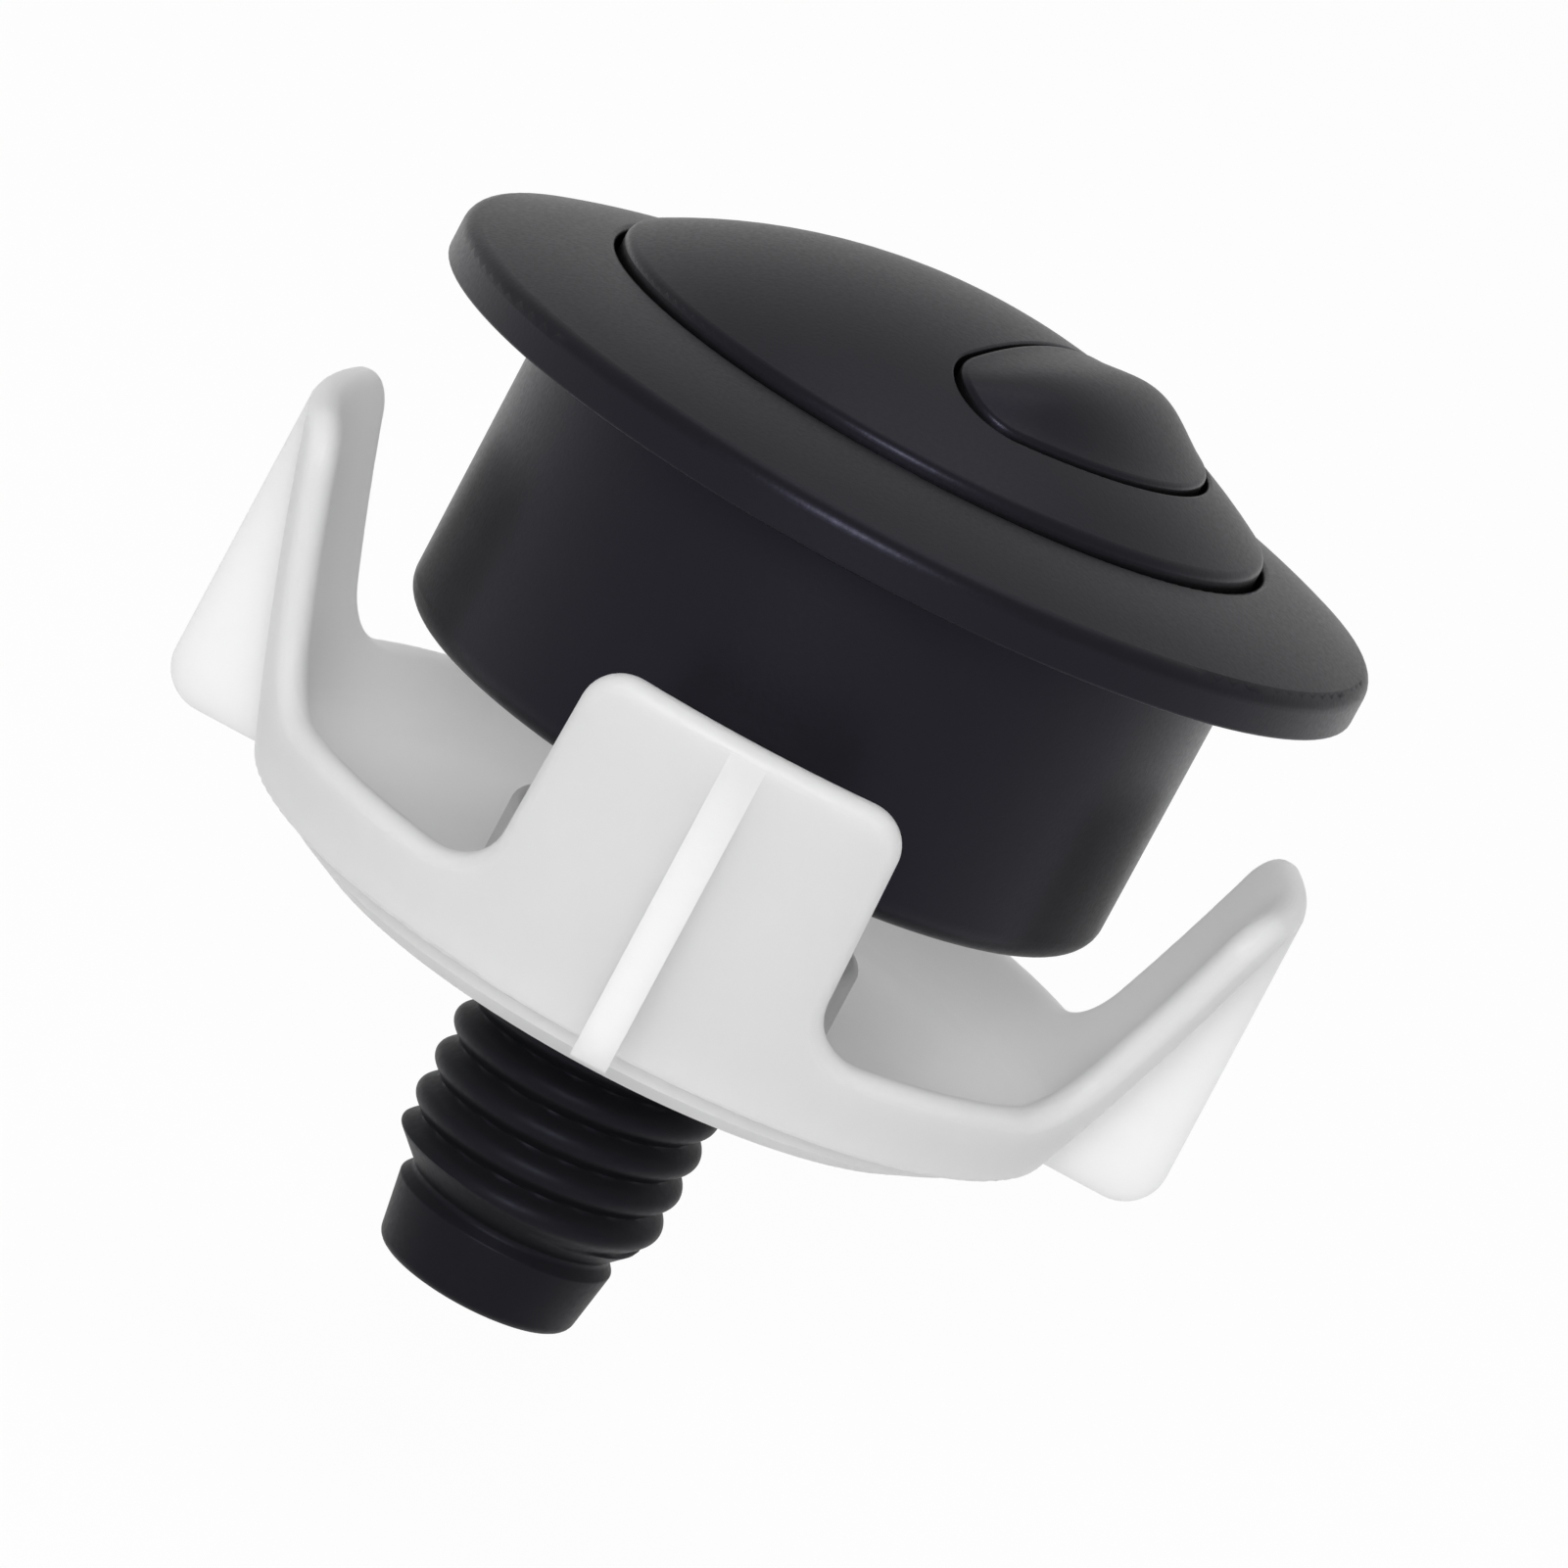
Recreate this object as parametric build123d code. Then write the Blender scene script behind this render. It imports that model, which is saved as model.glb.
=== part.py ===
from build123d import *
import os
from math import asin, cos, hypot, pi, sin, sqrt

# Dual-flush push button for a cistern lid. Millimetres, +Z up along the push direction.
# The origin is on the button's axis, in the plane of the flange's underside, which seats on the lid.

# Clearances
slide_gap = 0.3          # between sliding pieces of different bodies
button_gap = 0.4         # visible gap round the half-flush cap
well_gap = 0.45          # visible gap round the dome
seat_gap = 0.05          # a piece dropped into its seat in the same body

# Travels
full_travel = 6.0
half_travel = 6.0
nut_raise = 8.5          # the nut screwed up to clamp a thin lid

# Bezel flange and barrel, one moulding
barrel_radius = 28.7     # enters the 58 mm hole in the lid
barrel_depth = 24.5
barrel_wall = 1.85
barrel_rounding = 2.1
flange_radius = 37.5
flange_edge = 3.25       # height of its edge before rounding
flange_top = 6.4         # height round the well
flange_crown = 0.3
rim_rounding = 1.4
rim_lower_rounding = 0.25
well_rounding = 0.4
floor_thickness = 2.5
floor_rounding = 1.0

# Dome, the full-flush cap
dome_apex = 14.65
dome_edge = 7.3
dome_wall = 2.0
skirt_wall = 1.8
dome_rounding = 0.9
clip_azimuths = (30, 150, 270)
clip_width = 6.0
clip_thickness = 1.5
clip_barb = 0.9
clip_barb_height = 1.8
clip_root = 5.0

# Half-flush cap: a round side outward, a straight side near the middle
half_turn = -22.5        # the pair of buttons is turned about Z
half_inner = 4.7         # straight side, from the axis
half_outer_margin = 6.4  # from its furthest point to the dome's skirt
half_round_radius = 20.5
half_corner_radius = 5.05
half_cap_wall = 1.6
half_edge_rounding = 0.5
half_swell = 1.6         # how far its middle stands above the dome
half_lift = 0.2          # how far its edge does
opening_rounding = 0.25

# Carriers under the caps
plate_top = -4.0
plate_thickness = 2.0
plate_margin = 0.4       # inside the skirt
stiffener_thickness = 1.2
stiffener_height = 1.5
spring_collar_wall = 1.0
spring_collar_height = 1.5
half_plate_top = 5.0
half_plate_thickness = 2.0
half_plate_overlap = 0.9
half_arm_radius = 3.6
half_plug_height = 1.2
half_plug_wall = 1.4
half_peg_height = 1.6
sleeve_wall = 1.2
hook_azimuths = (90, 210, 330)
hook_width = 6.0
hook_margin = 2.15       # from its outside to the well's wall
hook_thickness = 1.8
hook_barb = 1.6
hook_barb_height = 1.6
hook_lip = 0.4           # flat edge of the barb above its slope
stop_play = 0.4          # left between hook plate and catch at full travel
catch_thickness = 1.0
catch_rib = 1.2
catch_reach = 2.85

# Plungers and the guide insert
plunger_radius = 6.2
plunger_flat = 0.9
plunger_low = -63.0
socket_radius = 1.75
socket_depth = 14.0
socket_offset = 3.45
guide_radius = 9.15
guide_height = 4.0

# Threaded stem
stem_bore = plunger_radius + slide_gap
stem_low = -69.4
stem_root_radius = 9.4
stem_crest_radius = 10.7
thread_pitch = 3.13
thread_phase_z = -59.3   # a crest stands here at azimuth 0
thread_high = -29.0
flank_steepness = 1.3    # rise over run of the ridge's flanks
crest_rounding = 1.0
ridge_foot = 0.3         # how deep the ridge is rooted in the core
runout = 1.4             # height over which the thread grows at its upper end
lower_cone = 1.0         # rise over run of the cone that ends the thread above the neck
seat_start = 2.0         # the core widens to the housing's hole this far above the thread
seat_slope = 1.2         # over this height
neck_radius = 8.1
neck_z = -63.0
neck_rounding = 0.5
collar_top_radius = 8.87
collar_top_z = -64.0
collar_low_radius = 8.0
collar_rounding = 1.0
collar_edge_rounding = 0.3
foot_radius = 17.0
foot_thickness = 2.5

# Screws
screw_circle = 13.9
screw_azimuths = (45, 135, 225, 315)
screw_shank = 1.4
screw_head_radius = 2.5
screw_head_height = 1.5
screw_bite = 2.0
screw_chamfer = 0.4
plunger_screw_shank = 1.0
plunger_screw_bite = 7.0
plunger_screw_head_radius = 2.1
plunger_screw_head_height = 1.4
plunger_screw_sink = 1.2
recess_width = 0.5
recess_length = 2.2
recess_depth = 0.8

# Springs
full_spring_radius = 7.9
full_spring_wire = 1.0
full_spring_turns = 4.5
half_spring_radius = 3.3
half_spring_wire = 0.8
half_spring_turns = 5.0
half_spring_u = 14.5
pocket_wall = 1.2
pocket_depth = 5.5
pocket_floor = 1.5
spring_end_gap = 0.05
spring_sides = 8         # sides of the wire's section, few to keep its mesh light

# Clamping nut
nut_bottom = -43.6
nut_foot_radius = 26.5
nut_ring_radius = 29.5
nut_ring_low = -42.0
nut_ring_high = -40.7
nut_rim_radius = 33.1
nut_rim_z = -40.2
nut_wall = 2.4
nut_bow = 0.4            # how far the leaning wall bulges out of a straight line
nut_floor = 2.2
nut_lip_z = -33.4
nut_edge_rounding = 0.7
nut_inner_rounding = 3.0
nut_dish_rounding = 12.0
wing_top_z = -13.5
wing_top_radius = 41.75  # outside of the wings at their top
wing_edge_rounding = 1.1
wing_half_width_top = 12.5
wing_half_width_low = 13.2
wing_corner = 3.4
wing_fillet = 4.4
fin_end = 1.1            # the fin dies into the wing this far below its top
fin_radius = 41.75       # its outer edge at the bottom
fin_thickness = 2.85
fin_corner = 3.5
hub_radius = 14.5
hub_top = -34.2
nut_bore = stem_crest_radius + slide_gap

well_radius = barrel_radius - barrel_wall
floor_top = floor_thickness - barrel_depth
stem_hole = stem_crest_radius + slide_gap
foot_top = floor_top + foot_thickness
plate_bottom = plate_top - plate_thickness
skirt_radius = well_radius - well_gap
half_outer = skirt_radius - half_outer_margin
half_length = 2 * sqrt((half_round_radius - half_corner_radius) ** 2
                       - (half_inner + half_corner_radius - half_outer + half_round_radius) ** 2)
half_length += 2 * half_corner_radius
plate_radius = skirt_radius - plate_margin
hook_radius = well_radius - hook_margin
stiffener_radius = hook_radius - hook_thickness
catch_top = plate_bottom - full_travel - stop_play
catch_bottom = catch_top - catch_thickness
barb_top = catch_bottom - slide_gap
hook_bottom = barb_top - hook_barb_height
half_plate_bottom = half_plate_top - half_plate_thickness
sleeve_bottom = half_plate_top + slide_gap
top_of_all = dome_apex + dome_edge

dome_drop = dome_apex - dome_edge
dome_radius = (skirt_radius ** 2 + dome_drop ** 2) / (2 * dome_drop)
dome_center = dome_apex - dome_radius

BUTTONS = Rotation(0, 0, half_turn)


def turned(*outline):
    """A body of revolution from an outline of (radius, height) points."""
    return revolve(Plane.XZ * make_face(Polyline(*outline, close=True)), Axis.Z)


def turned_face(face):
    """A body of revolution from a flat face drawn in radius and height."""
    return revolve(Plane.XZ * face, Axis.Z)


def rounded(face, corner, radius):
    """The face with the corner nearest to a point rounded."""
    return fillet(face.vertices().sort_by_distance(corner)[0], radius)


def rod(radius, low, high):
    """An upright cylinder between two heights."""
    return Pos(0, 0, low) * Cylinder(radius, high - low, align=(Align.CENTER, Align.CENTER, Align.MIN))


def ring(inner, outer, low, high):
    """An upright tube between two heights."""
    return rod(outer, low, high) - rod(inner, low, high)


def block(x0, x1, y0, y1, z0, z1):
    """A box between two corners."""
    return Pos((x0 + x1) / 2, (y0 + y1) / 2, (z0 + z1) / 2) * Box(x1 - x0, y1 - y0, z1 - z0)


def prism(face, low, high):
    """A flat face raised between two heights."""
    return Pos(0, 0, low) * extrude(face, high - low)


def half_outline(grow=0.0):
    """Outline of the half-flush opening: round outside, straight inside, rounded corners."""
    disc = Pos(half_outer - half_round_radius, 0) * Circle(half_round_radius)
    reach = 2 * half_round_radius
    shape = disc & (Pos(half_inner + reach / 2, 0) * Rectangle(reach, 2 * reach))
    shape = fillet(shape.vertices(), half_corner_radius)
    return offset(shape, grow) if grow else shape


def d_outline(radius, flat, side):
    """A round outline cut by a flat, kept on the given side of the axis."""
    reach = 2 * radius
    return Circle(radius) & (Pos(side * (flat + reach / 2), 0) * Rectangle(reach, 2 * reach))


def around(azimuths, shape):
    """Copies of a shape that stands on the X axis, turned to each azimuth."""
    return [Rotation(0, 0, azimuth) * shape for azimuth in azimuths]


def coil(radius, wire, turns, low, high):
    """A compression spring between two heights, its ends ground flat."""
    height = high - low - wire
    path = Pos(0, 0, low + wire / 2) * Helix(height / turns, height, radius)
    section = Plane(origin=path @ 0, z_dir=path % 0) * RegularPolygon(wire / 2, spring_sides)
    spring = sweep(section, path=path, is_frenet=True)
    return spring & rod(radius + wire, low + spring_end_gap, high - spring_end_gap)


def bezel_housing():
    """Flange and barrel, one moulding, with the catches for the carrier and the hole for the stem."""
    crown = ((flange_radius + well_radius) / 2, (flange_edge + flange_top) / 2 + flange_crown)
    outline = make_face([
        Polyline((well_radius, flange_top), (well_radius, floor_top), (stem_hole, floor_top),
                 (stem_hole, -barrel_depth), (barrel_radius, -barrel_depth), (barrel_radius, 0),
                 (flange_radius, 0), (flange_radius, flange_edge)),
        ThreePointArc((flange_radius, flange_edge), crown, (well_radius, flange_top)),
    ])
    outline = rounded(outline, (flange_radius, flange_edge), rim_rounding)
    outline = rounded(outline, (flange_radius, 0), rim_lower_rounding)
    outline = rounded(outline, (well_radius, flange_top), well_rounding)
    outline = rounded(outline, (barrel_radius, -barrel_depth), barrel_rounding)
    outline = rounded(outline, (well_radius, floor_top), floor_rounding)
    housing = turned_face(outline)
    inner_side = hook_width / 2 + slide_gap
    rooted = well_radius + barrel_wall / 3
    rib_start = well_radius - catch_reach
    ledge = block(hook_radius + slide_gap, rooted, -inner_side, inner_side, catch_bottom, catch_top)
    rib = block(rib_start, rooted, inner_side, inner_side + catch_rib, floor_top - floor_thickness / 2, catch_top)
    catch = ledge + rib + mirror(rib, Plane.XZ)
    housing += [BUTTONS * one for one in around(hook_azimuths, catch)]
    pilot = Pos(screw_circle, 0) * rod(screw_shank + seat_gap, floor_top - screw_bite - seat_gap, floor_top)
    housing -= around(screw_azimuths, pilot)
    return housing


def cone_height(radius):
    """Height of the cone that ends the thread above the neck, at a radius."""
    return neck_z + lower_cone * (radius - neck_radius)


def threaded_stem():
    """Hollow tail: a foot on the housing's floor, a coarse rounded right-hand thread, a neck and a collar."""
    seat = stem_hole - slide_gap
    core = make_face(Polyline(
        (stem_bore, stem_low), (collar_low_radius, stem_low), (collar_top_radius, collar_top_z),
        (neck_radius, neck_z), (stem_root_radius, cone_height(stem_root_radius)),
        (stem_root_radius, thread_high + seat_start),
        (seat, thread_high + seat_start + seat_slope), (seat, floor_top), (foot_radius, floor_top), (foot_radius, foot_top),
        (guide_radius + seat_gap, foot_top), (guide_radius + seat_gap, foot_top - guide_height),
        (stem_bore, foot_top - guide_height), close=True))
    core = rounded(core, (collar_low_radius, stem_low), collar_rounding)
    core = rounded(core, (collar_top_radius, collar_top_z), collar_edge_rounding)
    core = rounded(core, (neck_radius, neck_z), neck_rounding)
    stem = turned_face(core)

    ridge_radius = stem_root_radius - ridge_foot
    apex_above_crest = crest_rounding * (sqrt(1 + flank_steepness ** 2) - 1)
    apex = stem_crest_radius + apex_above_crest - ridge_radius
    half_width = (apex - ridge_foot) / flank_steepness
    turns_below = round((thread_phase_z - neck_z) / thread_pitch) + 1
    start_z = thread_phase_z - turns_below * thread_pitch
    turns = int((thread_high - start_z) / thread_pitch) + 2
    path = Pos(0, 0, start_z) * Helix(thread_pitch, turns * thread_pitch, ridge_radius)
    section = make_face(Polyline(
        (0, -half_width), (ridge_foot, -half_width), (apex, 0), (ridge_foot, half_width), (0, half_width), close=True))
    section = rounded(section, (apex, 0), crest_rounding)
    ridge = sweep(Plane(origin=path @ 0, x_dir=(1, 0, 0), z_dir=path % 0) * section, path=path, is_frenet=True)
    limit = stem_crest_radius + ridge_foot
    ridge &= turned((neck_radius, neck_z), (limit, cone_height(limit)), (limit, thread_high - runout),
                    (ridge_radius, thread_high), (neck_radius, thread_high))
    stem += ridge
    hole = Pos(screw_circle, 0) * rod(screw_shank + slide_gap, floor_top, foot_top)
    return stem - around(screw_azimuths, hole)


def cross_recess(top):
    """Cross slot of a screw, cut from its top."""
    arm = block(-recess_length / 2, recess_length / 2, -recess_width / 2, recess_width / 2,
                top - recess_depth, top + 1)
    return arm + Rotation(0, 0, 90) * arm


def stem_screws():
    """Four pan-head screws through the stem's foot into the housing's floor."""
    outline = make_face(Polyline(
        (0, floor_top - screw_bite), (screw_shank, floor_top - screw_bite), (screw_shank, foot_top),
        (screw_head_radius, foot_top), (screw_head_radius, foot_top + screw_head_height),
        (0, foot_top + screw_head_height), close=True))
    edge = outline.vertices().sort_by_distance((screw_head_radius, foot_top + screw_head_height))[0]
    outline = chamfer(edge, screw_chamfer)
    screw = turned_face(outline) - cross_recess(foot_top + screw_head_height)
    return Compound(children=around(screw_azimuths, Pos(screw_circle, 0) * screw))


def plunger_guide():
    """Insert at the stem's top, with a D hole for each plunger and a web between them."""
    hole = plunger_flat - slide_gap
    insert = rod(guide_radius, foot_top - guide_height, foot_top)
    for side in (1, -1):
        insert -= prism(d_outline(stem_bore, hole, side), foot_top - guide_height, foot_top)
    return BUTTONS * insert


def plunger(side, top):
    """D-shaped pusher with a socket for the flush valve's rod at its lower end."""
    body = prism(d_outline(plunger_radius, plunger_flat, side), plunger_low, top)
    center = Pos(side * socket_offset, 0)
    body -= center * rod(socket_radius, plunger_low, plunger_low + socket_depth)
    body -= center * rod(plunger_screw_shank + seat_gap, top - plunger_screw_bite - seat_gap, top)
    return BUTTONS * body


def dome_solid(wall=0.0):
    """The dome's filled form, or the hollow inside it when a wall is given, its seam clear of the opening."""
    outer = skirt_radius - (skirt_wall if wall else 0)
    radius = dome_radius - wall
    edge = dome_center + sqrt(radius ** 2 - outer ** 2)
    face = make_face([
        Polyline((0, dome_center + radius), (0, plate_top), (outer, plate_top), (outer, edge)),
        ThreePointArc((outer, edge),
                      (radius * sin(asin(outer / radius) / 2), dome_center + radius * cos(asin(outer / radius) / 2)),
                      (0, dome_center + radius)),
    ])
    if not wall:
        face = rounded(face, (outer, edge), dome_rounding)
    return Rotation(0, 0, 180) * turned_face(face)


def full_flush_button():
    """Domed cap with a deep skirt, a guide sleeve round the half-flush opening, and clips to its carrier."""
    filled = dome_solid()
    sleeve = prism(half_outline(sleeve_wall), sleeve_bottom, top_of_all) & filled
    cap = filled - dome_solid(dome_wall) + sleeve
    cap -= prism(half_outline(), plate_top, top_of_all)
    outside = cap.faces().filter_by(GeomType.SPHERE).sort_by(SortBy.AREA)[-1]
    cap = fillet(outside.inner_wires()[0].edges(), opening_rounding)
    outer = skirt_radius - skirt_wall
    half = clip_width / 2
    foot = plate_bottom - slide_gap
    tip = foot - clip_barb_height
    strip = block(outer - clip_thickness, outer + skirt_wall / 3, -half, half, plate_top, plate_top + clip_root)
    leg = block(outer - clip_thickness, outer, -half, half, tip, plate_top)
    barb = block(outer - clip_thickness - clip_barb, outer, -half, half, tip, foot)
    cap += around(clip_azimuths, strip + leg + barb)
    return BUTTONS * cap


def full_flush_carrier():
    """Plate under the dome, with the pocket of the small spring and the hooks that hold it in the housing."""
    plate = rod(plate_radius, plate_bottom, plate_top)
    plate += ring(stiffener_radius - stiffener_thickness, stiffener_radius, plate_top, plate_top + stiffener_height)
    collar = full_spring_radius + full_spring_wire / 2 + slide_gap
    plate += ring(collar, collar + spring_collar_wall, plate_bottom - spring_collar_height, plate_bottom)
    pocket = half_spring_radius + half_spring_wire / 2 + slide_gap
    pocket_low = plate_top - pocket_depth
    at_spring = Pos(half_spring_u, 0)
    plate += at_spring * rod(pocket + pocket_wall, pocket_low - pocket_floor, plate_bottom)
    plate -= at_spring * rod(pocket, pocket_low, plate_top + stiffener_height)

    half = hook_width / 2
    hook = Plane.XZ * make_face(Polyline(
        (hook_radius - hook_thickness, plate_bottom), (hook_radius, plate_bottom), (hook_radius, barb_top),
        (hook_radius + hook_barb, barb_top), (hook_radius + hook_barb, barb_top - hook_lip),
        (hook_radius, hook_bottom), (hook_radius - hook_thickness, hook_bottom), close=True))
    plate += around(hook_azimuths, extrude(hook, half, both=True))

    outer = skirt_radius - skirt_wall
    slot_half = clip_width / 2 + seat_gap
    slot = block(outer - clip_thickness - seat_gap, outer + seat_gap, -slot_half, slot_half,
                 plate_bottom, plate_top)
    plate -= around(clip_azimuths, slot)
    plate -= prism(d_outline(stem_bore, plunger_flat - slide_gap, 1), plate_bottom, plate_top)
    plate -= Pos(-socket_offset, 0) * rod(plunger_screw_shank + seat_gap, plate_bottom, plate_top)
    return BUTTONS * plate


def full_plunger_screw():
    """Pan-head screw through the carrier's plate into the full plunger."""
    low = plate_bottom - plunger_screw_bite
    top = plate_top + plunger_screw_head_height
    outline = make_face(Polyline(
        (0, low), (plunger_screw_shank, low), (plunger_screw_shank, plate_top),
        (plunger_screw_head_radius, plate_top), (plunger_screw_head_radius, top), (0, top), close=True))
    outline = chamfer(outline.vertices().sort_by_distance((plunger_screw_head_radius, top))[0], screw_chamfer)
    return BUTTONS * Pos(-socket_offset, 0) * (turned_face(outline) - cross_recess(top))


def half_crown():
    """Solid under the half-flush cap's top: it follows the dome at the edges and swells between them."""
    def top(across, along):
        reach = half_outer - half_round_radius + sqrt(half_round_radius ** 2 - along ** 2)
        u = half_inner + across * (reach - half_inner)
        swell = half_swell * sin(pi * across) ** 2 * (1 - (2 * along / half_length) ** 4)
        return (u, along, dome_center + sqrt(dome_radius ** 2 - u ** 2 - along ** 2) + half_lift + swell)

    rows = [[top(-0.1 + 1.2 * i / 12, half_length * (j / 12 - 0.5) * 1.04) for i in range(13)] for j in range(13)]
    surface = Face.make_surface_from_array_of_points([[Vector(*point) for point in row] for row in rows])
    return extrude(surface, dome_apex, dir=(0, 0, -1))


def half_flush_button():
    """Small cap let into the dome, hollow, with a rounded top edge."""
    crown = half_crown()
    cap = prism(half_outline(-button_gap), half_plate_top, top_of_all) & crown
    top = cap.faces().sort_by(Axis.Z)[-1]
    cap = fillet(top.edges(), half_edge_rounding)
    cap -= prism(half_outline(-button_gap - half_cap_wall), half_plate_top, top_of_all) & Pos(0, 0, -half_cap_wall) * crown
    return BUTTONS * cap


def half_flush_carrier():
    """Plate under the half-flush cap, with an arm to its plunger and a peg for its spring."""
    plate = prism(half_outline(half_plate_overlap), half_plate_bottom, half_plate_top)
    plate += Pos(socket_offset, 0) * rod(half_arm_radius, half_plate_bottom, half_plate_top)
    plug = half_outline(-button_gap - half_cap_wall - slide_gap)
    plug_top = half_plate_top + half_plug_height
    plate += prism(plug, half_plate_top, plug_top) - prism(offset(plug, -half_plug_wall), half_plate_top, plug_top)
    peg = half_spring_radius - half_spring_wire / 2 - slide_gap
    plate += Pos(half_spring_u, 0) * rod(peg, half_plate_bottom - half_peg_height, half_plate_bottom)
    shank = plunger_screw_shank + seat_gap
    plate -= Pos(socket_offset, 0) * turned(
        (0, half_plate_bottom), (shank, half_plate_bottom), (shank, half_plate_top - plunger_screw_sink),
        (plunger_screw_head_radius + seat_gap, half_plate_top), (0, half_plate_top))
    return BUTTONS * plate


def half_plunger_screw():
    """Countersunk screw through the arm into the half plunger."""
    low = half_plate_bottom - plunger_screw_bite
    screw = turned(
        (0, low), (plunger_screw_shank, low), (plunger_screw_shank, half_plate_top - plunger_screw_sink),
        (plunger_screw_head_radius, half_plate_top), (0, half_plate_top)) - cross_recess(half_plate_top)
    return BUTTONS * Pos(socket_offset, 0) * screw


def wall_radius(z):
    """Outside radius of the nut's leaning, slightly bowed wall at a height."""
    share = (z - nut_rim_z) / (wing_top_z - nut_rim_z)
    return nut_rim_radius + (wing_top_radius - nut_rim_radius) * share + 4 * nut_bow * share * (1 - share)


def wing_nut():
    """Shallow bowl with a bored hub, a low lip and four leaning wings, each with a fin on its back."""
    lean = (wing_top_radius - nut_rim_radius) / (wing_top_z - nut_rim_z)
    across = nut_wall * sqrt(1 + lean ** 2)
    inner_floor = nut_bottom + nut_floor
    inner_rim = nut_rim_z + nut_floor
    above = wing_top_z + nut_wall
    middle = (inner_rim + above) / 2
    bowl = make_face([
        Polyline((wall_radius(above), above), (wall_radius(above) - across, above)),
        ThreePointArc((wall_radius(above) - across, above), (wall_radius(middle) - across, middle),
                      (wall_radius(inner_rim) - across, inner_rim)),
        Polyline((wall_radius(inner_rim) - across, inner_rim), (nut_foot_radius, inner_floor),
                 (hub_radius, inner_floor), (hub_radius, hub_top), (nut_bore, hub_top), (nut_bore, nut_bottom),
                 (nut_foot_radius, nut_bottom), (nut_ring_radius, nut_ring_low), (nut_ring_radius, nut_ring_high),
                 (nut_rim_radius, nut_rim_z)),
        ThreePointArc((nut_rim_radius, nut_rim_z), (wall_radius(middle), middle), (wall_radius(above), above)),
    ])
    bowl = rounded(bowl, (nut_rim_radius, nut_rim_z), nut_edge_rounding)
    bowl = rounded(bowl, (wall_radius(inner_rim) - across, inner_rim), nut_inner_rounding)
    bowl = rounded(bowl, (nut_foot_radius, inner_floor), nut_dish_rounding)
    bowl = rounded(bowl, (hub_radius, hub_top), nut_edge_rounding)
    nut = Rotation(0, 0, 45) * turned_face(bowl)

    reach = 2 * wing_top_radius
    outside_wing = make_face(Polyline(
        (0, wing_top_z), (wing_half_width_top, wing_top_z), (wing_half_width_low, nut_lip_z),
        (reach, nut_lip_z), (reach, above + nut_wall), (0, above + nut_wall), close=True))
    outside_wing = rounded(outside_wing, (wing_half_width_top, wing_top_z), wing_corner)
    outside_wing = rounded(outside_wing, (wing_half_width_low, nut_lip_z), wing_fillet)
    beside_front = extrude(Plane.XZ * outside_wing, reach)
    beside_right = mirror(Rotation(0, 0, 90) * beside_front, Plane.XZ)
    nut -= around((0, 90, 180, 270), beside_front & beside_right)
    rim = nut.edges().filter_by(
        lambda edge: edge.center().Z > nut_lip_z - 0.1 and hypot(edge.center().X, edge.center().Y) > nut_foot_radius)
    nut = fillet(rim, wing_edge_rounding)

    fin_top = wing_top_z - fin_end
    inside = nut_wall / 2
    fin = make_face(Polyline(
        (nut_rim_radius - inside, nut_rim_z), (fin_radius, nut_rim_z), (wall_radius(fin_top), fin_top),
        (wall_radius(fin_top) - inside, fin_top), close=True))
    fin = extrude(Plane.XZ * rounded(fin, (fin_radius, nut_rim_z), fin_corner), fin_thickness / 2, both=True)
    return nut + around((0, 90, 180, 270), fin)


def full_return_spring():
    """Spring round the plungers, from the stem's foot up to the full-flush carrier."""
    return BUTTONS * coil(full_spring_radius, full_spring_wire, full_spring_turns, foot_top, plate_bottom)


def half_return_spring():
    """Spring in the carrier's pocket, up to the half-flush carrier."""
    return BUTTONS * Pos(half_spring_u, 0) * coil(
        half_spring_radius, half_spring_wire, half_spring_turns, plate_top - pocket_depth, half_plate_bottom)


pieces = {
    "bezel_housing": bezel_housing(),
    "threaded_stem": threaded_stem(),
    "stem_screws": stem_screws(),
    "plunger_guide": plunger_guide(),
    "full_return_spring": full_return_spring(),
    "full_flush_button": full_flush_button(),
    "full_flush_carrier": full_flush_carrier(),
    "full_plunger": plunger(-1, plate_bottom),
    "full_plunger_screw": full_plunger_screw(),
    "half_return_spring": half_return_spring(),
    "half_flush_button": half_flush_button(),
    "half_flush_carrier": half_flush_carrier(),
    "half_plunger": plunger(1, half_plate_bottom),
    "half_plunger_screw": half_plunger_screw(),
    "wing_nut": wing_nut(),
}

os.makedirs("parts", exist_ok=True)
for name, piece in pieces.items():
    export_step(piece, f"parts/{name}.step")
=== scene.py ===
# A dual-flush push button for a cistern lid, dressed for its picture.
# Metres, +Z up along the push direction, the button's axis on Z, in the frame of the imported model.
from math import ceil, cos, pi, radians, sin, tan

import bpy
from mathutils import Matrix, Vector


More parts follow.
